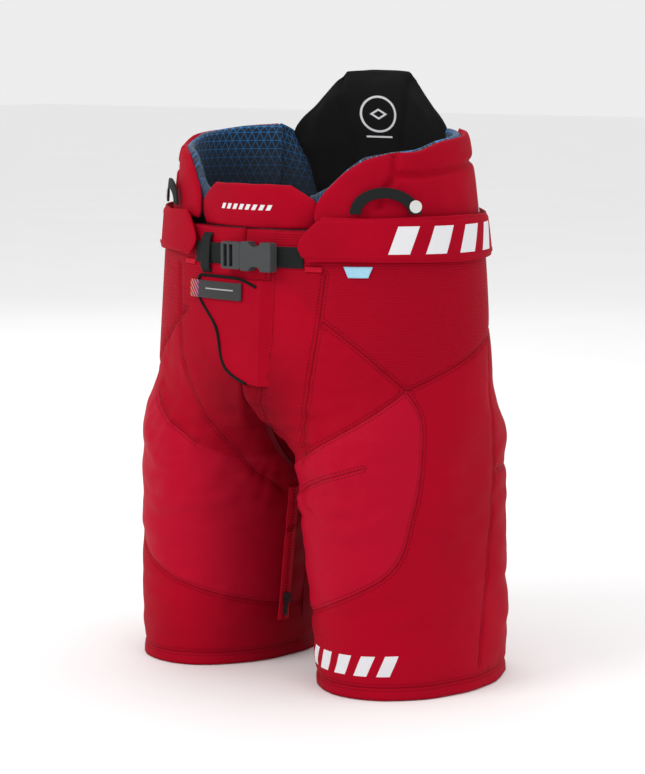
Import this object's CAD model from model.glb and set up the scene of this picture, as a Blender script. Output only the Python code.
"""Ice-hockey pants: the cloth, padding, webbing and trim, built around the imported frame."""

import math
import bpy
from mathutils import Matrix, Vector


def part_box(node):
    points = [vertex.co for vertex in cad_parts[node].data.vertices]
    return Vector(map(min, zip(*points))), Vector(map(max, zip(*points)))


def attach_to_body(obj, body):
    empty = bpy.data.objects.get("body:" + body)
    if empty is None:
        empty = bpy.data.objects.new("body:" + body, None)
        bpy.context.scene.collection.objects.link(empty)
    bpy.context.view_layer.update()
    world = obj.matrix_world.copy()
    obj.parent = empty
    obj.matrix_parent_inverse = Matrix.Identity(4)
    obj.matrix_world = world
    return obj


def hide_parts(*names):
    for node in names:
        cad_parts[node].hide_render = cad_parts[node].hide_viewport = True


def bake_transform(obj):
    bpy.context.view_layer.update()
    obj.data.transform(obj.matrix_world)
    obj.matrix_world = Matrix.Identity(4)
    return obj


bl_info = {
    "name": "Hockey pants",
    "version": (1, 0, 0),
    "blender": (4, 5, 0),
    "location": "View3D > Sidebar > Pants",
    "description": "Builds the cloth, pads, webbing and trim of a pair of ice-hockey pants",
    "category": "Object",
}

import bmesh
import bpy
import numpy as np
from mathutils import Matrix, Vector, noise

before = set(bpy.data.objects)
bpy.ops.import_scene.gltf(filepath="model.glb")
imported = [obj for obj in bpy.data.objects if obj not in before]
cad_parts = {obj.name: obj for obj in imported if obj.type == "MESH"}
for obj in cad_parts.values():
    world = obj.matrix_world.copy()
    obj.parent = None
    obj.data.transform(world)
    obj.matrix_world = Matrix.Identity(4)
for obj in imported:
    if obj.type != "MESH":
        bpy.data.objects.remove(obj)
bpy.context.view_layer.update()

MM = 0.001
SIDES = (("left", 1), ("right", -1))

# The frame's own levels, in metres
LEG_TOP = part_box("thigh_side_left")[1][2]
HIP_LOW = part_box("hip_panel_left")[0][2]
BAND_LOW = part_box("hip_band_left")[0][2]
TOP = 0.550

# Half width and depth of the hips at three levels, and centre, half width and depth of a leg at two
HIP_LEVELS = (HIP_LOW, BAND_LOW, TOP)
HIP_WIDTHS = (0.186, 0.178, 0.157)
HIP_DEPTHS = (0.127, 0.122, 0.109)
LEG_CENTRES = (0.1136, 0.098)
LEG_WIDTHS = (0.082, 0.092)
LEG_DEPTHS = (0.112, 0.122)
LEG_MIDDLE = 0.098
LEG_GIRTH = 0.107
MIDLINE = 0.0


# Shapes that the pants' cloth follows


def between(low, high, share):
    """The value a share of the way from low to high."""
    return low + (high - low) * share


def ease(start, end, value):
    """0 before start, 1 after end, and smooth between them."""
    share = min(1.0, max(0.0, (value - start) / (end - start)))
    return share * share * (3 - 2 * share)


def leg_oval(height):
    """Centre, half width and half depth of a leg at a height."""
    share = height / LEG_TOP
    return [between(pair[0], pair[1], share) for pair in (LEG_CENTRES, LEG_WIDTHS, LEG_DEPTHS)]


def hip_oval(height):
    """Half width and half depth of the hips at a height, going on past the top at the same slope."""
    low = 0 if height < HIP_LEVELS[1] else 1
    share = max(0.0, (height - HIP_LEVELS[low]) / (HIP_LEVELS[low + 1] - HIP_LEVELS[low]))
    return [between(sizes[low], sizes[low + 1], share) for sizes in (HIP_WIDTHS, HIP_DEPTHS)]


def hip_point(angle, height, out):
    """The point on the hips at an angle in degrees from the wearer's left, pushed outwards."""
    half_width, half_depth = hip_oval(height)
    turn = math.radians(angle)
    reach = 1 / math.hypot(math.cos(turn) / half_width, math.sin(turn) / half_depth)
    across, back = reach * math.cos(turn), reach * math.sin(turn)
    normal = Vector((across / half_width**2, back / half_depth**2, 0)).normalized()
    return Vector((across, back, height)) + normal * out


def reach_to_oval(centre, half_width, half_depth, turn):
    """How far it is from the leg's middle to an oval, in a direction."""
    along, back, start = math.cos(turn), math.sin(turn), LEG_MIDDLE - centre
    square = (along / half_width) ** 2 + (back / half_depth) ** 2
    cross = 2 * start * along / half_width**2
    rest = (start / half_width) ** 2 - 1
    return (-cross + math.sqrt(cross * cross - 4 * square * rest)) / (2 * square)


def skin_base(turn, height):
    """The left leg's and hip's outer face: a leg's oval below, and half of the hips' oval above."""
    leg = reach_to_oval(*leg_oval(height), turn)
    hip = reach_to_oval(0, *hip_oval(height), turn)
    if math.cos(turn) < 0:
        hip = min(hip, (MIDLINE - LEG_MIDDLE) / math.cos(turn))
    inward = ease(math.radians(60), math.radians(100), abs(turn))
    share = ease(between(LEG_TOP, 0.215, inward), between(HIP_LOW, 0.292, inward), height)
    reach = between(leg, hip, share)
    return Vector((LEG_MIDDLE + reach * math.cos(turn), reach * math.sin(turn), height))


def skin_point(turn, height, out):
    """A point of the left skin, pushed out level with the ground."""
    step = 0.004
    ahead = skin_base(turn + step, height)
    behind = skin_base(turn - step, height)
    tangent = ahead - behind
    return skin_base(turn, height) + Vector((tangent.y, -tangent.x, 0)).normalized() * out


def ripple(point, size, seed):
    """Smooth noise from -1 to 1, with bumps of about the given size."""
    return noise.noise(Vector(point) / size + Vector((seed, 3.1 * seed, 0)))


# Seams


def seam_table(seams):
    """Every straight run of the seams: its start, its run and the length before it, along the cloth."""
    rows = []
    for seam in seams:
        travelled = 0.0
        points = [(math.radians(angle) * LEG_GIRTH, height * MM) for angle, height in seam]
        for (x, y), (to_x, to_y) in zip(points, points[1:]):
            rows.append((x, y, to_x - x, to_y - y, travelled))
            travelled += math.hypot(to_x - x, to_y - y)
    return np.array(rows)


def nearest_seam(places, table):
    """Signed distance from each place to its nearest seam, and how far along that seam it is."""
    away = places[:, None, :] - table[None, :, :2]
    run = table[None, :, 2:4]
    length = np.hypot(run[..., 0], run[..., 1])
    share = np.clip((away * run).sum(-1) / length**2, 0, 1)
    gap = away - run * share[..., None]
    distance = np.hypot(gap[..., 0], gap[..., 1])
    best = distance.argmin(1)
    row = np.arange(len(places))
    side = np.sign(run[..., 0] * away[..., 1] - run[..., 1] * away[..., 0])[row, best]
    along = (table[None, :, 4] + share * length)[row, best]
    return distance[row, best] * np.where(side == 0, 1, side), along


def inside(outline, places):
    """Which places lie inside an outline of (angle, height in mm) points."""
    corners = [(math.radians(angle) * LEG_GIRTH, height * MM) for angle, height in outline]
    found = np.zeros(len(places), bool)
    for (x, y), (to_x, to_y) in zip(corners, corners[1:] + corners[:1]):
        crosses = (y > places[:, 1]) != (to_y > places[:, 1])
        if y != to_y:
            found ^= crosses & (places[:, 0] < (to_x - x) * (places[:, 1] - y) / (to_y - y) + x)
    return found


def softened(path):
    """The same line with its corners cut twice, so that it curves."""
    for _ in range(2):
        cut = [path[0]]
        for (x, y), (to_x, to_y) in zip(path, path[1:]):
            cut += [(between(x, to_x, share), between(y, to_y, share)) for share in (0.25, 0.75)]
        path = cut + [path[-1]]
    return path


THIGH_CURVE = softened([(-51, 294), (-43, 276), (-41, 261), (-42, 236), (-44, 198), (-49, 165), (-52, 140),
                        (-60, 119), (-78, 99), (-96, 83), (-118, 70), (-150, 58), (-178, 54)])
KNEE_SEAM = [(-51, 294), (-80, 259), (-106, 228)]
HIP_SEAM = [(-98, 360), (-51, 294), (21, 339), (70, 352), (130, 350)]
SHARED_SEAMS = [
    THIGH_CURVE,
    KNEE_SEAM,
    HIP_SEAM,
    [(23, 208), (80, 205)],
    [(23, 335), (19, 208), (15, 169), (-2, 24)],
    [(96, 350), (92, 205), (88, 24)],
    [(-178, 12), (-90, 12), (0, 12), (90, 12), (178, 12)],
    [(128, 410), (136, 300), (150, 240)],
]
SEAMS = {
    "left": SHARED_SEAMS + [
        [(-96, 403), (-98, 360), (-101, 305), (-104, 238), (-107, 224)],
        [(-123, 185), (-90, 211), (-72, 223)],
        [(-119, 402), (-119, 330), (-121, 285), (-126, 250), (-133, 215)],
    ],
    "right": SHARED_SEAMS + [
        [(-90, 403), (-92, 349), (-95, 313), (-104, 280), (-112, 253), (-121, 229), (-134, 198),
         (-154, 176)],
    ],
}
THIGH_PANEL = KNEE_SEAM[::-1] + THIGH_CURVE + [(-178, 212), (-123, 212)]
RIBBED_PANEL = HIP_SEAM + [(130, 470), (-118, 470), (-118, 400)]


# Mesh helpers


def keep_mesh(name, shape, material):
    """Put a finished bmesh in the scene as an object at the origin."""
    bmesh.ops.recalc_face_normals(shape, faces=shape.faces)
    mesh = bpy.data.meshes.new(name)
    for face in shape.faces:
        face.smooth = True
    shape.to_mesh(mesh)
    shape.free()
    mesh.materials.append(material)
    piece = bpy.data.objects.new(name, mesh)
    bpy.context.scene.collection.objects.link(piece)
    return piece


def grid(columns, rows, place):
    """A sheet of columns by rows faces, with place(across, up) in 0 to 1 giving each corner."""
    shape = bmesh.new()
    made = bmesh.ops.create_grid(shape, x_segments=columns, y_segments=rows, size=0.5)
    for corner in made["verts"]:
        corner.co = place(corner.co.x + 0.5, corner.co.y + 0.5)
    return shape


def pillow(columns, rows, place, crown=8):
    """A closed pad. place(across, up, out) takes values from -1 to 1, and out falls to 0 at the edges."""
    shape = bmesh.new()
    for front in (1, -1):
        made = bmesh.ops.create_grid(shape, x_segments=columns, y_segments=rows, size=1)
        for corner in made["verts"]:
            across, up = [0.6 * math.sin(value * math.pi / 2) + 0.4 * value for value in corner.co.xy]
            swell = math.sqrt(max(0.0, (1 - abs(across) ** crown) * (1 - abs(up) ** crown)))
            corner.co = place(across, up, front * swell)
    bmesh.ops.remove_doubles(shape, verts=shape.verts, dist=0.02 * MM)
    return shape


def rounded(across, up, softness):
    """Pull the corners of a square pad in, so that they are round."""
    return across * math.sqrt(1 - softness * up * up / 2), up * math.sqrt(1 - softness * across * across / 2)


def mirrored(piece, name):
    """A copy of a finished piece on the wearer's other side."""
    shape = bmesh.new()
    shape.from_mesh(piece.data)
    bmesh.ops.transform(shape, matrix=Matrix.Scale(-1, 4, (1, 0, 0)), verts=shape.verts)
    return keep_mesh(name, shape, piece.data.materials[0])


def smoother(piece):
    """Subdivide a piece's surface once."""
    modifier = piece.modifiers.new("Smooth", "SUBSURF")
    modifier.levels = 1
    modifier.render_levels = 1
    return applied(piece)


def applied(piece):
    """Make a piece's modifiers part of its mesh."""
    held = bpy.context.evaluated_depsgraph_get()
    mesh = bpy.data.meshes.new_from_object(piece.evaluated_get(held), depsgraph=held)
    piece.modifiers.clear()
    piece.data = mesh
    return piece


def coordinates(mesh):
    """All of a mesh's corners, as an array."""
    flat = np.empty(len(mesh.vertices) * 3)
    mesh.vertices.foreach_get("co", flat)
    return flat.reshape(-1, 3)


SMOOTHING_ROUNDS = 4


def inflated(piece, cap):
    """Puff a pad up with a short cloth simulation, and let no point move further than the cap."""
    before = coordinates(piece.data)
    cloth = piece.modifiers.new("Cloth", "CLOTH")
    cloth.settings.quality = 5
    cloth.settings.mass = 0.3
    cloth.settings.use_pressure = True
    cloth.settings.uniform_pressure_force = bpy.context.scene.pants_sizes.pressure
    cloth.settings.effector_weights.gravity = 0
    for step in range(1, 21):
        bpy.context.scene.frame_set(step)
    applied(piece)
    bpy.context.scene.frame_set(1)
    move = coordinates(piece.data) - before
    length = np.linalg.norm(move, axis=1, keepdims=True)
    held = before + move * np.minimum(1, cap / np.maximum(length, 1e-9))
    piece.data.vertices.foreach_set("co", held.ravel())
    piece.data.update()
    shape = bmesh.new()
    shape.from_mesh(piece.data)
    for _ in range(SMOOTHING_ROUNDS):
        bmesh.ops.smooth_vert(shape, verts=shape.verts, factor=0.5, use_axis_x=True, use_axis_y=True,
                              use_axis_z=True)
    for face in shape.faces:
        face.smooth = True
    shape.to_mesh(piece.data)
    shape.free()
    return piece


def stuffed(name, shape, material, cap, depth):
    """A padded piece: puffed up, smoothed, and then creased by depth(point)."""
    return sculpted(smoother(inflated(keep_mesh(name, shape, material), cap)), depth)


def sculpted(piece, depth):
    """Move each corner of a piece along its normal by depth(point), as a sewn channel or a crease does."""
    normals = [Vector(corner.normal) for corner in piece.data.vertices]
    for corner, normal in zip(piece.data.vertices, normals):
        corner.co += normal * depth(corner.co)
    piece.data.update()
    return piece


def valley(distance, width, depth):
    """A smooth groove of a width and depth, at a distance from its middle."""
    return -depth * math.exp(-((distance / width) ** 2))


def line_distance(point, start, end):
    """How far a flat point is from a straight line between two others."""
    run_x, run_y = end[0] - start[0], end[1] - start[1]
    share = ((point[0] - start[0]) * run_x + (point[1] - start[1]) * run_y) / (run_x**2 + run_y**2)
    share = min(1, max(0, share))
    return math.hypot(point[0] - start[0] - share * run_x, point[1] - start[1] - share * run_y)


def path_distance(point, path):
    """How far a flat point is from a line of several straight runs."""
    return min(line_distance(point, start, end) for start, end in zip(path, path[1:]))


def thickened(piece, thickness, offset=-1):
    """Give a flat piece its thickness: inwards of its face, or half to each side where offset is 0."""
    solid = piece.modifiers.new("Thickness", "SOLIDIFY")
    solid.thickness = thickness
    solid.offset = offset
    return applied(piece)


def ribbon(columns, rows, place, thickness, name, material):
    """A strip of cloth or webbing with a thickness, from a sheet that place(across, up) lays out."""
    return thickened(keep_mesh(name, grid(columns, rows, place), material), thickness, 0)


def tube(name, points, radius, material):
    """A thin round edge or cord that follows a line of points."""
    curve = bpy.data.curves.new(name, "CURVE")
    curve.dimensions = "3D"
    curve.bevel_depth = radius
    curve.bevel_resolution = 2
    curve.use_fill_caps = True
    spline = curve.splines.new("NURBS")
    spline.points.add(len(points) - 1)
    for spot, point in zip(spline.points, points):
        spot.co = (*point, 1)
    spline.order_u = 3
    spline.use_endpoint_u = True
    holder = bpy.data.objects.new(name, curve)
    bpy.context.scene.collection.objects.link(holder)
    bpy.context.view_layer.update()
    mesh = bpy.data.meshes.new_from_object(holder)
    bpy.data.objects.remove(holder)
    shape = bmesh.new()
    shape.from_mesh(mesh)
    bmesh.ops.remove_doubles(shape, verts=shape.verts, dist=0.01 * MM)
    return keep_mesh(name, shape, material)


# Shader maths


class Value:
    """A socket that adds Math nodes when it is used in an expression."""

    def __init__(self, recipe, socket):
        self.recipe = recipe
        self.socket = socket

    def math(self, operation, *others):
        return self.recipe.math(operation, self, *others)

    def __add__(self, other):
        return self.math("ADD", other)

    def __sub__(self, other):
        return self.math("SUBTRACT", other)

    def __mul__(self, other):
        return self.math("MULTIPLY", other)

    def __truediv__(self, other):
        return self.math("DIVIDE", other)

    def __rsub__(self, other):
        return self.recipe.math("SUBTRACT", other, self)

    def __gt__(self, other):
        return self.math("GREATER_THAN", other)

    def __lt__(self, other):
        return self.math("LESS_THAN", other)

    __radd__ = __add__
    __rmul__ = __mul__

    def sine(self):
        return self.math("SINE")

    def absolute(self):
        return self.math("ABSOLUTE")

    def part(self):
        """What is left after the whole number."""
        return self.math("FRACT")

    def fades(self, start, end):
        """1 up to start, falling to 0 at end."""
        made = self.recipe.node("ShaderNodeMapRange", {"interpolation_type": "SMOOTHSTEP"},
                                {"Value": self, "From Min": start, "From Max": end, "To Min": 1.0,
                                 "To Max": 0.0})
        return Value(self.recipe, made.outputs["Result"])


class Recipe:
    """One material and its nodes."""

    def __init__(self, name):
        self.material = bpy.data.materials.new(name)
        self.material.use_nodes = True
        self.tree = self.material.node_tree
        self.tree.nodes.clear()

    def node(self, kind, settings=None, values=None):
        """Add any node: its settings first, then the values or links of its sockets."""
        made = self.tree.nodes.new(kind)
        for name, value in (settings or {}).items():
            setattr(made, name, value)
        for name, value in (values or {}).items():
            self.feed(made.inputs[name], value)
        return made

    def feed(self, socket, value):
        """Link or set a socket."""
        if isinstance(value, Value):
            value = value.socket
        if isinstance(value, bpy.types.NodeSocket):
            self.tree.links.new(value, socket)
        else:
            socket.default_value = value

    def math(self, operation, *values):
        """Add one Math node."""
        made = self.node("ShaderNodeMath", {"operation": operation}, dict(enumerate(values)))
        return Value(self, made.outputs[0])

    def place(self):
        """Where a point is on the pants, as X, Y and Z values in metres."""
        made = self.node("ShaderNodeTexCoord")
        parts = self.node("ShaderNodeSeparateXYZ", {}, {"Vector": made.outputs["Object"]})
        return [Value(self, parts.outputs[name]) for name in "XYZ"]

    def chart(self):
        """A point's place on flat cloth, in metres."""
        made = self.node("ShaderNodeUVMap", {"uv_map": "cloth"})
        parts = self.node("ShaderNodeSeparateXYZ", {}, {"Vector": made.outputs["UV"]})
        return [Value(self, parts.outputs[name]) for name in "XY"]

    def attribute(self, name):
        """A number that the mesh carries at each corner."""
        made = self.node("ShaderNodeAttribute", {"attribute_name": name})
        return Value(self, made.outputs["Fac"])

    def speckle(self, scale, detail=2.0):
        """Noise from 0 to 1 over the object, at a number of bumps per metre."""
        made = self.node("ShaderNodeTexCoord")
        cloud = self.node("ShaderNodeTexNoise", {}, {"Vector": made.outputs["Object"], "Scale": scale,
                                                     "Detail": detail})
        return Value(self, cloud.outputs["Fac"])

    def blend(self, share, low, high):
        """A colour between two colours."""
        made = self.node("ShaderNodeMix", {"data_type": "RGBA"}, {0: share, 6: low, 7: high})
        return made.outputs[2]

    def finish(self, colour, roughness, height=None, bump=0.5, distance=0.4 * MM, **constants):
        """Join colour, roughness and surface height to the shader, and give back the material."""
        shader = self.node("ShaderNodeBsdfPrincipled", {}, {"Base Color": colour, "Roughness": roughness})
        for name, value in constants.items():
            shader.inputs[name.replace("_", " ")].default_value = value
        if height is not None:
            made = self.node("ShaderNodeBump", {},
                             {"Strength": bump, "Distance": distance, "Height": height})
            self.tree.links.new(made.outputs["Normal"], shader.inputs["Normal"])
        end = self.node("ShaderNodeOutputMaterial")
        self.tree.links.new(shader.outputs[0], end.inputs["Surface"])
        return self.material


def opaque(colour, strength=1.0):
    """A colour darkened by a strength, with its alpha."""
    return (colour[0] * strength, colour[1] * strength, colour[2] * strength, 1.0)


def weave(recipe):
    """A plain weave over the whole object, from -1 to 1."""
    across, back, up = recipe.place()
    turns = 2 * math.pi / bpy.context.scene.pants_sizes.thread_pitch
    return ((across + back) * turns).sine() * (up * turns).sine()


def slanted_bars(across, up, pitch, slant, count):
    """A row of equal slanted bars, from -1 to 1 up."""
    along = across - up * slant
    return ((along / pitch).part() > 0.42) * (up.absolute() < 1) * (along > 0) * (along < count * pitch)


def shell_cloth(name, side, colours):
    """The woven outer shell: ribbed at the hip, bright on the thigh, with dark stitches by the seams."""
    recipe = Recipe(name)
    seam = recipe.attribute("seam")
    along = recipe.attribute("along")
    ribbed = recipe.attribute("ribbed")
    thigh = recipe.attribute("thigh")
    around, up = recipe.chart()
    across = recipe.place()[0]
    threads = weave(recipe)
    ribs = (up * (2 * math.pi / (2.4 * MM))).sine() * ribbed
    cloud = recipe.speckle(9.0, 3.0)
    fine = recipe.speckle(900.0)
    base = recipe.blend(cloud, opaque(colours.shell, 0.72), opaque(colours.shell, 1.12))
    base = recipe.blend(thigh * 0.55, base, opaque(colours.highlight))
    base = recipe.blend((ribs * 0.5 + 0.5) * ribbed * 0.35, base, opaque(colours.shell, 0.55))
    base = recipe.blend(fine * 0.22, base, opaque(colours.shell, 0.4))
    inner = across.absolute().fades(12 * MM, 92 * MM) * up.fades(0.28, 0.345)
    if side == "left":
        inner = inner * (1.0 - thigh)
    base = recipe.blend(inner * 0.6, base, opaque(colours.shell, 0.28))
    close = recipe.attribute("near") < 5.5 * MM
    crease = seam.absolute().fades(0.2 * MM, 1.3 * MM) * close
    base = recipe.blend(crease * 0.6, base, opaque(colours.shell, 0.2))
    row = (seam.absolute() - 3.2 * MM).absolute() < 0.55 * MM
    dash = ((along / (3.4 * MM)).part() < 0.62) * row * close
    base = recipe.blend(dash * 0.65, base, opaque(colours.shell, 0.3))
    if side == "left":
        mark_across = around - math.radians(-113) * LEG_GIRTH
        mark_up = (up - 33 * MM) / (10 * MM)
        bars = slanted_bars(mark_across, mark_up, 21 * MM, 4 * MM, 5)
        base = recipe.blend(bars, base, opaque(colours.print_white))
    height = threads * 0.25 + ribs * 0.8 - dash * 0.8 - crease * 0.6
    rough = 0.62 + threads * 0.05 - thigh * 0.12 + fine * 0.1
    return recipe.finish(base, rough, height, 0.45, Specular_IOR_Level=0.06)


def pad_cloth(name, colour, marks=None, white=(0.8, 0.8, 0.8), roughness=0.66):
    """Woven cloth over padding, with an optional printed mark given as marks(recipe)."""
    recipe = Recipe(name)
    threads = weave(recipe)
    fine = recipe.speckle(900.0)
    cloud = recipe.speckle(14.0, 3.0)
    base = recipe.blend(cloud, opaque(colour, 0.72), opaque(colour, 1.15))
    base = recipe.blend(fine * 0.3, base, opaque(colour, 0.45))
    if marks:
        base = recipe.blend(marks(recipe), base, opaque(white))
    rough = roughness + threads * 0.05 + fine * 0.1
    return recipe.finish(base, rough, threads * 0.4 + fine * 0.5, 0.4, Specular_IOR_Level=0.06)


def band_marks(recipe):
    """Slanted white bars on the side of the hip band."""
    across, back, up = recipe.place()
    turn = recipe.math("ARCTAN2", back, across.absolute()) * (180 / math.pi)
    along = (turn + 33) * (2.75 * MM)
    level = (up - 436 * MM) / (13 * MM)
    return slanted_bars(along, level, 32 * MM, 5 * MM, 5)


def belly_marks(recipe):
    """A short row of small slanted bars on the middle of the belly pad."""
    across, _, up = recipe.place()
    along = across + 34 * MM
    level = (up - 464 * MM) / (2.6 * MM)
    return slanted_bars(along, level, 8 * MM, 1.4 * MM, 8)


def back_marks(recipe):
    """A ring round a lozenge, with a line below it, on the face of the back pad."""
    across, back, up = recipe.place()
    across = (across - 3 * MM) / 1.26
    level = up - 547 * MM
    away = recipe.math("SQRT", across * across + level * level)
    ring = (away - 17.5 * MM).absolute() < 1.1 * MM
    lozenge = (across.absolute() + level.absolute() * 1.6) < 9 * MM
    hollow = (across.absolute() + level.absolute() * 1.6) > 5.5 * MM
    line = (across.absolute() < 13 * MM) * ((up - 524 * MM).absolute() < 0.9 * MM)
    return recipe.math("MINIMUM", ring + lozenge * hollow + line, 1.0) * (back < 0.118)


def liner_net(name, colours):
    """Near-black lining with a bright blue net of triangles, brighter towards the top."""
    recipe = Recipe(name)
    around, up = recipe.chart()
    pitch = bpy.context.scene.pants_sizes.net_pitch
    lines = None
    for turn in (0, 60, 120):
        slope = math.radians(turn)
        place = (around * math.sin(slope) + up * math.cos(slope)) / pitch
        line = ((place.part() - 0.5).absolute() > 0.455)
        lines = line if lines is None else recipe.math("MAXIMUM", lines, line)
    glow = recipe.speckle(16.0, 1.0)
    fine = recipe.speckle(1200.0)
    height = 1.0 - up.fades(0.44, 0.55)
    base = recipe.blend(glow * 0.5, opaque(colours.black, 0.9), opaque(colours.net_blue, 0.2))
    bright = recipe.blend(glow * height, opaque(colours.net_blue, 0.25), opaque(colours.net_blue, 1.9))
    base = recipe.blend(lines * (0.25 + height * 0.75), base, bright)
    return recipe.finish(base, 0.72 + fine * 0.15, lines * 0.6 + fine * 0.4, 0.35, Sheen_Weight=0.1)


def webbing_cloth(name, colour):
    """Ribbed polyester webbing, with a herringbone of fine threads."""
    recipe = Recipe(name)
    across, back, up = recipe.place()
    turns = 2 * math.pi / (1.5 * MM)
    zigzag = ((up * turns).sine() * 1.4 + (across + back) * turns * 1.3).sine()
    fine = recipe.speckle(1500.0)
    base = recipe.blend(zigzag * 0.5 + 0.5, opaque(colour, 0.6), opaque(colour, 1.5))
    base = recipe.blend(fine * 0.3, base, opaque(colour, 2.2))
    return recipe.finish(base, 0.6 + fine * 0.2, zigzag, 0.5, 0.3 * MM, Specular_IOR_Level=0.15)


def moulded(name, colour, roughness=0.45):
    """Moulded plastic with a fine grain and faint scuffs."""
    recipe = Recipe(name)
    fine = recipe.speckle(700.0, 3.0)
    scuff = recipe.speckle(55.0, 5.0)
    base = recipe.blend(scuff, opaque(colour, 0.85), opaque(colour, 1.2))
    rough = roughness + scuff * 0.14 + fine * 0.05
    return recipe.finish(base, rough, fine, 0.15, 0.1 * MM, Specular_IOR_Level=0.3)


def open_foam(name, colour):
    """Soft foam with small open cells."""
    recipe = Recipe(name)
    cells = recipe.speckle(650.0, 4.0)
    base = recipe.blend(cells, opaque(colour, 0.7), opaque(colour, 1.1))
    return recipe.finish(base, 0.9, cells, 0.6, 0.6 * MM)


def worn_metal(name, colour):
    """Dull plated metal, as on a zip slider."""
    recipe = Recipe(name)
    scuff = recipe.speckle(260.0, 4.0)
    base = recipe.blend(scuff, opaque(colour, 0.7), opaque(colour, 1.1))
    return recipe.finish(base, 0.3 + scuff * 0.25, scuff, 0.1, 0.1 * MM, Metallic=1.0)


def label_cloth(name, colours):
    """Black woven label with warm diagonal stripes at one end and a thin pale line along it."""
    recipe = Recipe(name)
    along, up = recipe.chart()
    stripe = ((along + up * 0.8) / (4.2 * MM)).part() > 0.5
    warm = recipe.blend(along / (15 * MM), opaque(colours.stripe_warm), opaque(colours.stripe_cool))
    ends = along < 13 * MM
    base = recipe.blend(ends * stripe, opaque(colours.black), warm)
    line = ((up - 9.5 * MM).absolute() < 0.6 * MM) * (along > 24 * MM) * (along < 62 * MM)
    base = recipe.blend(line, base, opaque(colours.print_white, 0.5))
    threads = (up * (2 * math.pi / (0.7 * MM))).sine()
    return recipe.finish(base, 0.5 + threads * 0.06, threads, 0.2, 0.2 * MM)


# The pieces


def hip_depth(across, height):
    """How far from the middle the hips' face is, at a distance across and a height, in millimetres."""
    half_width, half_depth = hip_oval(height * MM)
    return half_depth * math.sqrt(max(0.0, 1 - (across * MM / half_width) ** 2)) / MM


def front_point(side, height, out):
    """A point in front of the hips' face, from a distance across and a height, in millimetres."""
    return Vector((side, -hip_depth(side, height) - out, height)) * MM


def edge(value, points):
    """The height of an edge given by a few (place, height) points."""
    return float(np.interp(value, [point[0] for point in points], [point[1] for point in points]))


def charted(columns, rows, place, chart):
    """A sheet whose corners keep their place on flat cloth as a UV map."""
    shape = bmesh.new()
    flat = shape.loops.layers.uv.new("cloth")
    made = bmesh.ops.create_grid(shape, x_segments=columns, y_segments=rows, size=0.5)
    spots = {corner: (corner.co.x + 0.5, corner.co.y + 0.5) for corner in made["verts"]}
    for face in shape.faces:
        for loop in face.loops:
            loop[flat].uv = chart(*spots[loop.vert])
    for corner, spot in spots.items():
        corner.co = place(*spot)
    return shape


SKIN_COLUMNS = 232
SKIN_ROWS = 166
SKIN_TOP = 0.450
FRONT_TOP = 0.443
HEM_FOLD = 0.012
HEM_DEPTH = 0.0130
HEM_ROWS = 5
TOP_ROWS = 4
RELIEF_LIMIT = 0.0004
RELIEF_FLOOR = -0.0022
SKIN_FACTS = ("seam", "near", "along", "thigh", "ribbed")


def skin_top(turn):
    """How high the shell goes: low at the front and the rear, and under the wings at the sides."""
    return between(FRONT_TOP, SKIN_TOP, ease(0.30, 0.52, math.cos(turn)))


def skin_relief(place, turn, seam, along, side):
    """How far the cloth stands out at a place: full between the seams, drawn in and puckered at them."""
    away = abs(seam)
    full = 0.0018 * (1 - math.exp(-away / 0.012)) - 0.0011
    groove = valley(away, 0.0022, bpy.context.scene.pants_sizes.seam_depth)
    gathered = ease(0.9, 1.4, -turn) * ease(2.75, 2.4, -turn)
    gathered *= ease(0.13, 0.18, place.z) * ease(0.36, 0.30, place.z)
    gathers = ripple((along, seam * 0.25, 0), 0.010, 7 + side)
    pucker = (0.0007 + 0.0028 * gathered) * math.exp(-away / 0.018) * (gathers + 0.3 * gathered)
    folds = 0.0016 * ripple((place.x, place.y, place.z * 0.6), 0.045, 2 + side)
    folds += 0.0026 * gathered * ripple((place.x, place.y, place.z * 2.2), 0.022, 23 + side)
    low = ease(0.290, 0.250, place.z)
    crush = 0.0022 * low * ripple((place.x * 0.7, place.y, place.z * 2.2), 0.038, 11 + side)
    return max(RELIEF_FLOOR, full + groove + pucker + folds + crush)


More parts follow.
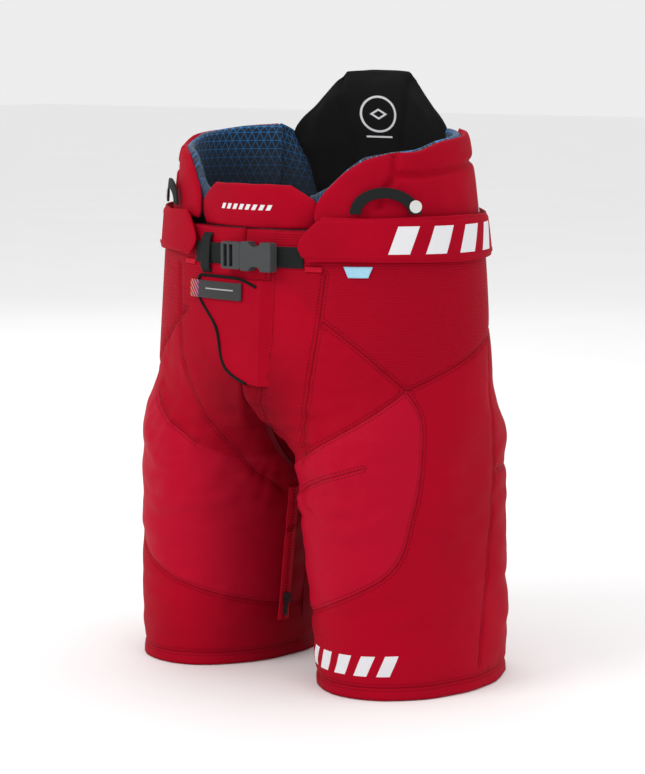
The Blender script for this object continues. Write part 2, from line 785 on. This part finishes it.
def trouser_skin(side, sign, material):
    """The outer shell of one leg and half the hips, with a turned hem and a turned waist edge."""
    shape = bmesh.new()
    flat = shape.loops.layers.uv.new("cloth")
    layers = {name: shape.verts.layers.float.new(name) for name in SKIN_FACTS}
    made = bmesh.ops.create_grid(shape, x_segments=SKIN_COLUMNS, y_segments=SKIN_ROWS, size=0.5)
    corners = list(made["verts"])
    spots = []
    for corner in corners:
        turn = (corner.co.x * 2) * math.pi
        row = (corner.co.y + 0.5) * SKIN_ROWS
        up = min(1.0, max(0.0, (row - HEM_ROWS) / (SKIN_ROWS - HEM_ROWS - TOP_ROWS)))
        under = max(0.0, 1 - row / HEM_ROWS)
        over = max(0.0, (row - SKIN_ROWS + TOP_ROWS) / TOP_ROWS)
        spots.append((turn, up * skin_top(turn) + HEM_FOLD * max(0, under - 0.4), under, over))
    place_of = {corner: spot for corner, spot in zip(corners, spots)}
    for face in shape.faces:
        for loop in face.loops:
            turn, height, under, _ = place_of[loop.vert]
            loop[flat].uv = (turn * LEG_GIRTH, height - 0.02 * under)
    places = np.array([(turn * LEG_GIRTH, height) for turn, height, _, _ in spots])
    seam, along = nearest_seam(places, seam_table(SEAMS[side]))
    facts = {"seam": seam, "near": np.abs(seam), "along": along, "thigh": inside(THIGH_PANEL, places) * 1.0,
             "ribbed": inside(RIBBED_PANEL, places) * 1.0}
    for index, (corner, (turn, height, under, over)) in enumerate(zip(corners, spots)):
        for name, layer in layers.items():
            corner[layer] = float(facts[name][index])
        base = skin_base(turn, height)
        away = ease(0.0, 0.012, base.x)
        out = skin_relief(base, turn, seam[index], along[index], sign) * away
        if height > 0.28:
            out = min(out, RELIEF_LIMIT)
        out -= HEM_DEPTH * max(min(1, under * 1.6), 0 if over == 0 else over) * away
        corner.co = skin_point(turn, height, out)
        corner.co.x = max(corner.co.x, 0.0) * sign
    bmesh.ops.remove_doubles(shape, verts=shape.verts, dist=0.02 * MM)
    wall = [face for face in shape.faces
            if all(abs(corner.co.x) < 0.8 * MM and corner.co.z > HIP_LOW for corner in face.verts)]
    bmesh.ops.delete(shape, geom=wall, context="FACES")
    return keep_mesh("trouser_skin_" + side, shape, material)


WING_TOP = [(-58, 460), (-54, 474), (-51.5, 482), (-43.5, 500), (-36, 512), (-25.5, 519), (-16, 520),
            (-5, 529), (19, 536), (40, 539)]
WING_CHANNEL = [(-24, 520), (-25, 496), (-15.5, 496), (22, 507), (40, 511)]
WING_BRANCH = [(-25, 496), (-31, 468)]
WING_GIRTH = 2.75
LINER_INSET = 17.0


def hip_wing(material):
    """The left wing: a thick pad above the band, with two sewn channels on its outer face."""
    def place(across, up, out):
        across, up = rounded(across, up, 0.10)
        angle = between(-57, 35, (across + 1) / 2)
        height = between(449, edge(angle, WING_TOP), (up + 1) / 2) * MM
        return hip_point(angle, height, (-7 + 4.6 * out) * MM)

    def depth(point):
        angle = math.degrees(math.atan2(point.y, point.x))
        spot = (angle * WING_GIRTH, point.z / MM)
        middle = hip_point(angle, point.z, -7 * MM)
        if math.hypot(point.x, point.y) < math.hypot(middle.x, middle.y):
            return 0
        lines = [[(turn * WING_GIRTH, height) for turn, height in line]
                 for line in (WING_CHANNEL, WING_BRANCH)]
        away = min(path_distance(spot, line) for line in lines)
        return valley(away, 3.6, 4.6 * MM) + 0.9 * MM * ripple(point, 0.024, 3)

    return stuffed("wing_pad_left", pillow(70, 26, place), material, 5 * MM, depth)


def hip_band(material):
    """The left band: a firm pad round the hip below the wing, with round ends."""
    def place(across, up, out):
        across = across * (1 - 0.045 * up**4)
        angle = between(-62, 34, (across + 1) / 2)
        bottom = edge(angle, [(-62, 425), (-58, 413)])
        top = edge(angle, [(-62, 434), (-52, 459)])
        height = between(bottom, top, (up + 1) / 2) * MM
        return hip_point(angle, height, (4.2 + 2.7 * out) * MM)

    def depth(point):
        rim = min(point.z / MM - 412, 460 - point.z / MM)
        return valley(rim - 5, 1.6, 1.1 * MM) + 0.4 * MM * ripple(point, 0.03, 5)

    return stuffed("band_pad_left", pillow(90, 18, place, 10), material, 2.6 * MM, depth)


def belly_pad(material):
    """The soft pad that stands up behind the buckle."""
    def place(across, up, out):
        across, up = rounded(across, up, 0.16)
        height = between(442.5, 488, (up + 1) / 2)
        side = across * edge(height, [(442, 68), (462, 74), (470, 70), (488, 46)])
        back = -116 + 23 * (side / 74) ** 2 - 4.6 * out
        return Vector((side, back, height)) * MM

    return stuffed("belly_cushion", pillow(44, 18, place), material, 4 * MM,
                   lambda point: 0.7 * MM * ripple(point, 0.02, 9))


def back_layer(name, inset, thickness, edge_margin, material):
    """One padded layer of the tall back pad, at an inset from the hips' face, in millimetres."""
    def place(across, up, out):
        across, up = rounded(across, up, 0.08)
        height = between(447, 594, (up + 1) / 2)
        half = edge(height, BACK_PAD_EDGE)
        side = across * (half - edge_margin)
        back = hip_depth(side, min(height, 565)) - inset
        return Vector((side, back + thickness * out, height)) * MM

    left = [(-46, 600), (-40, 554), (-28, 501), (-30, 440)]
    right = [(46, 600), (38, 548), (29, 501), (30, 440)]

    def depth(point):
        spot = (point.x / MM, point.z / MM)
        away = min(path_distance(spot, left), path_distance(spot, right))
        return valley(away, 4.0, 2.4 * MM) + 0.8 * MM * ripple(point, 0.028, 13)

    return stuffed(name, pillow(64, 52, place), material, thickness * MM, depth)


def tailbone_pad(material):
    """The pad on the seat, over the tailbone guard."""
    def place(across, up, out):
        across, up = rounded(across, up, 0.12)
        angle = between(65, 115, (across + 1) / 2)
        return hip_point(angle, between(309, 435, (up + 1) / 2) * MM, (3.6 + 2.8 * out) * MM)

    def depth(point):
        row = abs((point.z / MM - 309) % 31.5 - 15.75)
        return valley(15.75 - row, 2.6, 1.8 * MM) + 0.5 * MM * ripple(point, 0.03, 15)

    return stuffed("tailbone_cushion", pillow(40, 40, place), material, 3 * MM, depth)


ROLL_TOP = [(-58, 478), (-51, 486), (-43, 503), (-36, 514), (-25, 519), (-16, 521), (-5, 529), (19, 536),
            (40, 538)]


def waist_liner(material):
    """The left lining of the waist: up the inside, over a soft roll and down behind the wing."""
    def section(angle, up):
        top = edge(angle, ROLL_TOP)
        if up < 0.7:
            return LINER_INSET, between(302, top - 7, up / 0.7), 0
        if up < 0.9:
            turn = (up - 0.7) / 0.2 * math.pi
            return 13 + 4 * math.cos(turn), top - 7 + 5 * math.sin(turn), turn * 4.5
        return 9.0, between(top - 7, top - 30, (up - 0.9) / 0.1), 14

    def place(across, up):
        angle = between(-59, 35, across)
        inset, height, _ = section(angle, up)
        spot = hip_point(angle, height * MM, 0)
        soft = 1.3 * ripple(spot, 0.03, 17) * ease(0.5, 0.8, up)
        return hip_point(angle, height * MM, (soft - inset) * MM)

    def chart(across, up):
        angle = between(-59, 35, across)
        _, height, extra = section(angle, up)
        return angle * 2.75 * MM, (height + extra) * MM

    return keep_mesh("waist_lining_left", charted(84, 100, place, chart), material)


BACK_PAD_EDGE = [(446, 77), (490, 86), (528, 100), (542, 90), (556, 76), (580, 54), (588, 46), (593, 38)]
WEB_TOP = 536.5


def rear_web(material):
    """The stretch lining that joins the left wing to the back pad's edge."""
    def foot(across):
        return 441 - 14 * math.sin(across * math.pi)

    def place(across, up):
        height = between(foot(across), WEB_TOP - 14 * across, up)
        start = hip_point(34, height * MM, -(LINER_INSET - 0.6) * MM) / MM
        side = edge(height, BACK_PAD_EDGE) - 7
        back = hip_depth(side, height) - 5.5
        spot = start.lerp(Vector((side, back, height)), across)
        spot.y += 2.5 * math.sin(across * math.pi)
        return spot * MM

    def chart(across, up):
        return between(85, 140, across) * MM, between(foot(across), WEB_TOP, up) * MM

    return keep_mesh("stretch_web_left", charted(24, 40, place, chart), material)


def rear_join(material):
    """The sewn strip between the top of the seat and the bottom of the back pad."""
    def place(across, up):
        side, height = between(-84, 84, across), between(434, 453, up)
        return Vector((side, hip_depth(side, height) - 10.3, height)) * MM

    return keep_mesh("back_pad_join", grid(60, 12, place), material)


def rear_liner(material):
    """The low lining across the back, with its edge turned over to the shell."""
    def place(across, up):
        angle = between(32, 148, across)
        if up < 0.85:
            return hip_point(angle, between(302, 439, up / 0.85) * MM, -LINER_INSET * MM)
        turn = (up - 0.85) / 0.15 * math.pi
        return hip_point(angle, (439 + 3 * math.sin(turn)) * MM, (-9 - 8 * math.cos(turn)) * MM)

    def chart(across, up):
        return between(32, 148, across) * 2.2 * MM, between(302, 440, up) * MM

    return keep_mesh("waist_lining_rear", charted(70, 44, place, chart), material)


def leg_liner(side, material):
    """The lining inside one leg, up to the waist's lining."""
    def place(across, up):
        turn = (across * 2 - 1) * math.pi
        return skin_point(turn, between(5, 303, up) * MM, -13.6 * MM)

    def chart(across, up):
        return (across * 2 - 1) * math.pi * LEG_GIRTH, between(5, 303, up) * MM

    shape = charted(110, 60, place, chart)
    bmesh.ops.remove_doubles(shape, verts=shape.verts, dist=0.02 * MM)
    if side == "right":
        bmesh.ops.transform(shape, matrix=Matrix.Scale(-1, 4, (1, 0, 0)), verts=shape.verts)
    return keep_mesh("leg_lining_" + side, shape, material)


FLY_EDGE = [(292, 30), (295, 8), (302, -12), (314, -24), (346, -30), (362, -46), (374, -59), (396, -60)]

FLY_TAB_TOP = [(396, -50), (396, -20), (395, 2), (388, 18)]


def fly_flap(material):
    """The fly: a flap of shell cloth that narrows downwards from a tab at its top."""
    def place(across, up, out):
        height = between(293, 395, (up + 1) / 2)
        left = edge(height, FLY_EDGE)
        side = between(left, 34.5, (across + 1) / 2)
        sewn = ease(22, 35, side)
        proud = between(2.2, -1.6, sewn) + between(1.0, 0.3, sewn) * out
        return front_point(side, height, proud)

    piece = keep_mesh("fly_cloth", pillow(46, 48, place, 14), material)

    def depth(point):
        line = abs(point.x / MM - 22)
        return valley(line, 2.0, 0.7 * MM) + 0.5 * MM * ripple(point, 0.02, 19)

    return sculpted(smoother(piece), depth)


def fly_binding(material):
    """The dark piping round the free edge of the fly."""
    points = []
    for height, side in FLY_EDGE[1:] + FLY_TAB_TOP:
        points.append(front_point(side, height, 3.4))
    return tube("fly_binding", points, 1.5 * MM, material)


BELT_MIDDLE = 418
BELT_OUT = 1.6


def belt_strap(name, low, high, material):
    """A length of the belt over the front of the hips, between two distances across, in millimetres."""
    def place(across, up):
        side = between(low, high, across)
        back = -hip_depth(side, BELT_MIDDLE) - BELT_OUT
        return Vector((side, back, between(BELT_MIDDLE - 10, BELT_MIDDLE + 10, up))) * MM

    return ribbon(40, 8, place, 1.7 * MM, name, material)


def fly_label(material):
    """The woven label on the fly's tab."""
    def place(across, up):
        side, height = between(-71, 1.5, across), between(374, 391, up)
        return front_point(side, height, 5.0)

    def chart(across, up):
        return across * 72.5 * MM, up * 17 * MM

    return thickened(keep_mesh("fly_woven_label", charted(30, 8, place, chart), material), 0.8 * MM)


def belt_loop(material):
    """The webbing loop that holds the belt down, to the wearer's right of the buckle."""
    def place(across, up):
        side = between(-56, -43, across)
        height = between(399, 437, up)
        rise = 0.8 + 3.6 * ease(0, 0.16, up) * ease(1, 0.84, up)
        return front_point(side, height, rise)

    return ribbon(8, 40, place, 1.2 * MM, "belt_keeper", material)


def hip_loop(material):
    """The arch of webbing on the left wing."""
    def place(across, up):
        turn = up * math.pi
        reach = between(-5, 5, across)
        side, rise = -(25 + reach) * math.cos(turn), (20 + reach) * math.sin(turn)
        return hip_point(-29.5 + side / 2.55, (460 + rise) * MM, (3.6 + 1.2 * math.sin(turn)) * MM)

    return ribbon(8, 60, place, 1.7 * MM, "wing_loop_left", material)


def crotch_gusset(material):
    """The strip of cloth under the crotch, from front to back."""
    def place(across, up):
        turn = between(math.pi, 2 * math.pi, up)
        return Vector((between(-4, 4, across), 96 * math.cos(turn), 298 + 107 * math.sin(turn))) * MM

    return ribbon(6, 90, place, 2.2 * MM, "crotch_strip", material)


def patch(name, first, last, bottom, top, out, thickness, material, taper=0.0):
    """A small flat patch on the hips, between two angles and two heights in millimetres."""
    def place(across, up):
        narrow = (1 - up) * taper
        angle = between(first + narrow, last - narrow, across)
        return hip_point(angle, between(bottom, top, up) * MM, out * MM)

    return ribbon(12, 6, place, thickness * MM, name, material)


ZIP_PLACE = -28.0


def zip_wall(height, out):
    """A point of the left inner thigh on the zip's line, at a height in millimetres."""
    centre, half_width, half_depth = leg_oval(height * MM)
    depth = ZIP_PLACE * MM
    across = centre - half_width * math.sqrt(1 - (depth / half_depth) ** 2)
    normal = Vector(((across - centre) / half_width**2, depth / half_depth**2, 0)).normalized()
    return Vector((across, depth, height * MM)) + normal * out * MM, normal


def zip_tape(side, sign, material):
    """The zip's tape on the inner thigh."""
    def place(across, up):
        point, normal = zip_wall(between(40, 179, up), 0.9)
        tangent = Vector((-normal.y, normal.x, 0))
        point = point + tangent * between(-7, 7, across) * MM
        return Vector((point.x * sign, point.y, point.z))

    return ribbon(8, 70, place, 0.9 * MM, "thigh_zip_tape_" + side, material)


def zip_teeth(side, sign, material):
    """The zip's row of teeth, above and below its slider."""
    shape = bmesh.new()
    for step in range(46):
        point, normal = zip_wall(41.5 + 3 * step, 1.5)
        turn = Matrix.Rotation(math.atan2(normal.y, normal.x * sign), 4, "Z")
        place = Matrix.Translation((point.x * sign, point.y, point.z))
        size = Matrix.Diagonal((0.9 * MM, 4.2 * MM, 1.7 * MM, 1))
        bmesh.ops.create_cube(shape, size=1, matrix=place @ turn @ size)
    bmesh.ops.bevel(shape, geom=list(shape.edges), offset=0.2 * MM, offset_type="OFFSET", segments=1,
                    profile=0.5, affect="EDGES", material=-1)
    return keep_mesh("thigh_zip_teeth_" + side, shape, material)


# The sidebar's sizes and colours


def measure(name, description, value, **kind):
    """A number that the sidebar shows."""
    return bpy.props.FloatProperty(name=name, description=description, default=value, **kind)


def colour(name, description, value):
    """A colour that the sidebar shows."""
    return bpy.props.FloatVectorProperty(name=name, description=description, default=value, subtype="COLOR",
                                         size=3, min=0, max=1)


class PantsColours(bpy.types.PropertyGroup):
    """The colours of the cloth, webbing and trim."""

    shell: colour("Shell", "The woven shell", (0.40, 0.0, 0.014))
    highlight: colour("Thigh panel", "The brighter panel on the front of each thigh", (0.50, 0.003, 0.028))
    gusset: colour("Gusset", "The strip under the crotch", (0.09, 0.002, 0.006))
    black: colour("Black cloth", "The back pad, the label and the lining's ground", (0.0115, 0.0105, 0.011))
    webbing: colour("Webbing", "The belt and loops", (0.0085, 0.0095, 0.0095))
    net_blue: colour("Net", "The lining's blue net", (0.012, 0.19, 0.50))
    buckle: colour("Buckle", "The buckle's plastic", (0.042, 0.045, 0.047))
    print_white: colour("Print", "The printed bars and ring", (0.72, 0.72, 0.74))
    button: colour("Button", "The suspender buttons", (0.62, 0.62, 0.6))
    tag: colour("Tag", "The small pale tag", (0.39, 0.69, 0.87))
    foam: colour("Foam", "The foam inside", (0.5, 0.51, 0.53))
    metal: colour("Metal", "The zips' sliders and teeth", (0.10, 0.10, 0.11))
    stripe_warm: colour("Label stripe", "The warm end of the label's stripes", (0.8, 0.14, 0.02))
    stripe_cool: colour("Label stripe end", "The cool end of the label's stripes", (0.4, 0.03, 0.3))
    floor: colour("Floor", "The studio floor", (0.93, 0.93, 0.93))


class PantsSizes(bpy.types.PropertyGroup):
    """The sizes of the cloth's details, the padding and the stage."""

    thread_pitch: measure("Thread pitch", "Between two threads of the shell", 1.1 * MM, unit="LENGTH")
    net_pitch: measure("Net pitch", "Between two lines of the lining's net", 8.5 * MM, unit="LENGTH")
    seam_depth: measure("Seam depth", "How far each seam draws the shell in", 1.3 * MM, unit="LENGTH")
    pressure: measure("Padding pressure", "How hard the stuffing pushes", 4.0)
    distance: measure("Camera distance", "From the camera to the pants", 2.5, unit="LENGTH")
    lens: measure("Lens", "The camera's focal length in millimetres", 116.0)
    turn: measure("Camera turn", "The camera's turn about the pants", math.radians(38), subtype="ANGLE")
    rise: measure("Camera rise", "The camera's angle above the floor", math.radians(8), subtype="ANGLE")
    aim: measure("Aim", "The height that the camera looks at", 0.277, unit="LENGTH")


MAKERS = {
    "shell_left": lambda name, c: shell_cloth(name, "left", c),
    "shell_right": lambda name, c: shell_cloth(name, "right", c),
    "red_pad": lambda name, c: pad_cloth(name, c.shell),
    "red_band": lambda name, c: pad_cloth(name, c.shell, band_marks, c.print_white),
    "red_belly": lambda name, c: pad_cloth(name, c.shell, belly_marks, c.print_white),
    "black_back": lambda name, c: pad_cloth(name, c.black, back_marks, c.print_white, 0.74),
    "black_binding": lambda name, c: pad_cloth(name, c.black),
    "gusset_cloth": lambda name, c: pad_cloth(name, c.gusset),
    "net": liner_net,
    "belt_webbing": lambda name, c: webbing_cloth(name, c.webbing),
    "buckle_plastic": lambda name, c: moulded(name, c.buckle),
    "guard_plastic_dark": lambda name, c: moulded(name, c.black, 0.5),
    "button_plastic": lambda name, c: moulded(name, c.button, 0.3),
    "inner_foam": lambda name, c: open_foam(name, c.foam),
    "slider_metal": lambda name, c: worn_metal(name, c.metal),
    "tape_cloth": lambda name, c: webbing_cloth(name, c.shell),
    "tag_cloth": lambda name, c: pad_cloth(name, c.tag),
    "woven_label": label_cloth,
}


def material(name):
    """The named material, made the first time that it is needed."""
    found = bpy.data.materials.get(name)
    return found or MAKERS[name](name, bpy.context.scene.pants_colours)


def both_sides(piece, left_name, right_name):
    """The left piece and its mirror image, each with its name."""
    piece.name = left_name
    return (("left", piece), ("right", mirrored(piece, right_name)))


def attach(piece, body, slot, *nodes):
    """Let a piece ride on a body in place of its CAD nodes, with the finish of a slot."""
    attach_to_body(piece, body)
    if nodes:
        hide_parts(*nodes)


def blend_at_hip(piece, side, sign):
    """Stretch a piece from the waist to a leg, over the soft zone between them."""
    "leg_" + side
    sign * LEG_MIDDLE
    sign * LEG_MIDDLE
    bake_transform(piece)


class BuildShell(bpy.types.Operator):
    """Sew the outer shell of both legs and the hips."""

    bl_idname = "pants.shell"
    bl_label = "Shell"

    def execute(self, context):
        for side, sign in SIDES:
            skin = trouser_skin(side, sign, material("shell_" + side))
            blend_at_hip(skin, side, sign)
            panels = ["hip_panel", "front_panel", "thigh_front", "thigh_side", "thigh_back", "thigh_inner",
                      "stretch_zone"]
            nodes = [panel + "_" + side for panel in panels]
            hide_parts(*nodes, *(["seat_panel"] if side == "left" else []))
        attach(crotch_gusset(material("gusset_cloth")), "waist", "black_fabric", "crotch_gusset")
        return {"FINISHED"}


class BuildLinings(bpy.types.Operator):
    """Line the waist, the back and both legs."""

    bl_idname = "pants.linings"
    bl_label = "Linings"

    def execute(self, context):
        lining = waist_liner(material("net"))
        for side, piece in both_sides(lining, "waist_lining_left", "waist_lining_right"):
            attach(piece, "waist", "net_liner", "waist_liner_" + side)
        web = rear_web(material("net"))
        for (_, sign), (_, piece) in zip(SIDES, both_sides(web, "stretch_web_left", "stretch_web_right")):
            sign * 0.1045
            sign * 0.091
            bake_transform(piece)
        join = rear_join(material("black_binding"))
        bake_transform(join)
        rear = rear_liner(material("net"))
        attach(rear, "waist", "net_liner", "waist_liner_rear")
        for side, sign in SIDES:
            tube_lining = leg_liner(side, material("net"))
            blend_at_hip(tube_lining, side, sign)
            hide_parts("leg_liner_" + side)
        return {"FINISHED"}


class BuildPads(bpy.types.Operator):
    """Stuff the wings, the bands and the belly, back and tailbone pads."""

    bl_idname = "pants.pads"
    bl_label = "Pads"

    def execute(self, context):
        for make, name, node, cloth in ((hip_wing, "wing_pad_", "hip_wing_", "red_pad"),
                                        (hip_band, "band_pad_", "hip_band_", "red_band")):
            for side, piece in both_sides(make(material(cloth)), name + "left", name + "right"):
                self.settle(piece, "waist", node + side, "red_fabric")
        self.settle(belly_pad(material("red_belly")), "belly_pad", "belly_pad", "red_fabric")
        cushion = back_layer("back_cushion", 13.8, 3.4, 0, material("black_back"))
        self.settle(cushion, "back_pad", "back_pad", "black_fabric")
        cover = back_layer("back_board_cover", 6.6, 2.0, 5, material("black_binding"))
        self.settle(cover, "back_pad", "back_board", "black_fabric")
        self.settle(tailbone_pad(material("red_pad")), "waist", "tailbone_pad", "red_fabric")
        return {"FINISHED"}

    def settle(self, piece, body, node, slot):
        """Attach a pad and say that it is one."""
        attach(piece, body, slot, node)


class BuildFly(bpy.types.Operator):
    """Make the fly, its piping and its label."""

    bl_idname = "pants.fly"
    bl_label = "Fly"

    def execute(self, context):
        flap = fly_flap(material("red_pad"))
        attach(flap, "fly_flap", "red_fabric", "fly_flap")
        attach(fly_binding(material("black_binding")), "fly_flap", "black_fabric")
        attach(fly_label(material("woven_label")), "fly_flap", "black_fabric", "fly_label")
        return {"FINISHED"}


class BuildWebbing(bpy.types.Operator):
    """Thread the belt, its loop and the loops on the wings."""

    bl_idname = "pants.webbing"
    bl_label = "Webbing"

    def execute(self, context):
        cloth = material("belt_webbing")
        left = belt_strap("belt_strap_left", 36, 66, cloth)
        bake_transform(left)
        right = belt_strap("belt_strap_right", -66, -15, cloth)
        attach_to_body(right, "waist")
        keeper = belt_loop(cloth)
        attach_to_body(keeper, "waist")
        for piece, node in ((left, "belt_left"), (right, "belt_right"), (keeper, "belt_loop")):
            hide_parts(node)
        for side, piece in both_sides(hip_loop(cloth), "wing_loop_left", "wing_loop_right"):
            attach(piece, "waist", "webbing", "hip_loop_" + side)
        return {"FINISHED"}


class BuildTrim(bpy.types.Operator):
    """Add the tag, the ends of the length zips and the thigh zips."""

    bl_idname = "pants.trim"
    bl_label = "Trim"

    def execute(self, context):
        tag = patch("pale_tag_patch", -44, -34, 400.5, 411, 1.3, 0.9, material("tag_cloth"), 1.6)
        attach(tag, "waist", "pale_tag", "hip_tag")
        ends = patch("length_zip_left", -59, -52, 405, 410, 1.0, 0.9, material("tape_cloth"))
        for side, piece in both_sides(ends, "length_zip_left", "length_zip_right"):
            attach(piece, "waist", "zip_tape", "length_zips")
        for side, sign in SIDES:
            tape = zip_tape(side, sign, material("tape_cloth"))
            teeth = zip_teeth(side, sign, material("red_pad"))
            attach(tape, "leg_" + side, "zip_tape", "zip_tape_" + side)
            attach(teeth, "leg_" + side, "zip_metal")
        return {"FINISHED"}


NODE_FINISHES = {
    "inner_foam": ("hip_foam_", "tailbone_foam", "thigh_foam_"),
    "guard_plastic_dark": ("hip_plate_", "tailbone_plate", "thigh_guard_"),
    "buckle_plastic": ("buckle_", "prong_"),
    "button_plastic": ("suspender_buttons",),
    "slider_metal": ("zip_slider_", "zip_pull_"),
}


class FinishHardware(bpy.types.Operator):
    """Give the guards, foams, buckle, buttons and zip sliders their finishes."""

    bl_idname = "pants.hardware"
    bl_label = "Hardware"

    def execute(self, context):
        for name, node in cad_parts.items():
            for finish, starts in NODE_FINISHES.items():
                if name.startswith(starts):
                    node.data.materials.clear()
                    node.data.materials.append(material(finish))
        return {"FINISHED"}


LIGHTS = (
    ("key", (-0.9, -2.4, 2.4), 1.6, 36),
    ("fill", (2.8, -1.2, 1.4), 2.4, 9),
    ("top", (0.3, 0.6, 3.0), 2.2, 18),
    ("rim", (-2.2, 1.8, 1.6), 1.6, 6),
)


FLOOR_SPAN = 30
WORLD_STRENGTH = 0.85
SENSOR_HEIGHT = 36


class BuildStage(bpy.types.Operator):
    """Lay the floor, hang the lights and aim the camera."""

    bl_idname = "pants.stage"
    bl_label = "Stage"

    def execute(self, context):
        sizes = context.scene.pants_sizes
        recipe = Recipe("studio_floor")
        grain = recipe.speckle(3.0)
        pale = context.scene.pants_colours.floor
        base = recipe.blend(grain, opaque(pale, 0.98), opaque(pale, 1.02))

        def floor_spot(across, up):
            return Vector(((across - 0.5) * FLOOR_SPAN, (up - 0.5) * FLOOR_SPAN, -0.001))

        finish = recipe.finish(base, 0.8 + grain * 0.05)
        keep_mesh("studio_floor", grid(4, 4, floor_spot), finish)
        target = Vector((0, 0, sizes.aim))
        for name, place, size, power in LIGHTS:
            light = bpy.data.lights.new(name, "AREA")
            light.size = size
            light.energy = power
            holder = bpy.data.objects.new("light_" + name, light)
            holder.location = place
            holder.rotation_euler = (target - Vector(place)).to_track_quat("-Z", "Y").to_euler()
            context.scene.collection.objects.link(holder)
        world = bpy.data.worlds.new("studio")
        world.use_nodes = True
        world.node_tree.nodes["Background"].inputs["Color"].default_value = (1, 1, 1, 1)
        world.node_tree.nodes["Background"].inputs["Strength"].default_value = WORLD_STRENGTH
        context.scene.world = world
        context.scene.view_settings.view_transform = "Standard"
        camera = bpy.data.cameras.new("studio_camera")
        camera.lens = sizes.lens
        camera.sensor_fit = "VERTICAL"
        camera.sensor_height = SENSOR_HEIGHT
        holder = bpy.data.objects.new("studio_camera", camera)
        level = math.cos(sizes.rise)
        away = Vector((math.sin(sizes.turn) * level, -math.cos(sizes.turn) * level, math.sin(sizes.rise)))
        holder.location = target + sizes.distance * away
        holder.rotation_euler = (target - holder.location).to_track_quat("-Z", "Y").to_euler()
        context.scene.collection.objects.link(holder)
        context.scene.camera = holder
        return {"FINISHED"}


STEPS = (BuildShell, BuildLinings, BuildPads, BuildFly, BuildWebbing, BuildTrim, FinishHardware, BuildStage)


class PantsPanel(bpy.types.Panel):
    """The steps, sizes and colours, in the 3D view's sidebar."""

    bl_idname = "VIEW3D_PT_pants"
    bl_label = "Hockey pants"
    bl_space_type = "VIEW_3D"
    bl_region_type = "UI"
    bl_category = "Pants"

    def draw(self, context):
        for step in STEPS:
            self.layout.operator(step.bl_idname)
        for group in (context.scene.pants_sizes, context.scene.pants_colours):
            for name in group.__annotations__:
                self.layout.prop(group, name)


CLASSES = (PantsColours, PantsSizes, *STEPS, PantsPanel)


def register():
    """Register the operators, the panel and the settings."""
    for kind in CLASSES:
        bpy.utils.register_class(kind)
    bpy.types.Scene.pants_colours = bpy.props.PointerProperty(type=PantsColours)
    bpy.types.Scene.pants_sizes = bpy.props.PointerProperty(type=PantsSizes)


def unregister():
    """Take the settings, the panel and the operators away again."""
    del bpy.types.Scene.pants_sizes
    del bpy.types.Scene.pants_colours
    for kind in reversed(CLASSES):
        bpy.utils.unregister_class(kind)


def main():
    """Run every step in order."""
    register()
    for step in STEPS:
        group, name = step.bl_idname.split(".")
        getattr(getattr(bpy.ops, group), name)()


if __name__ == "__main__":
    main()
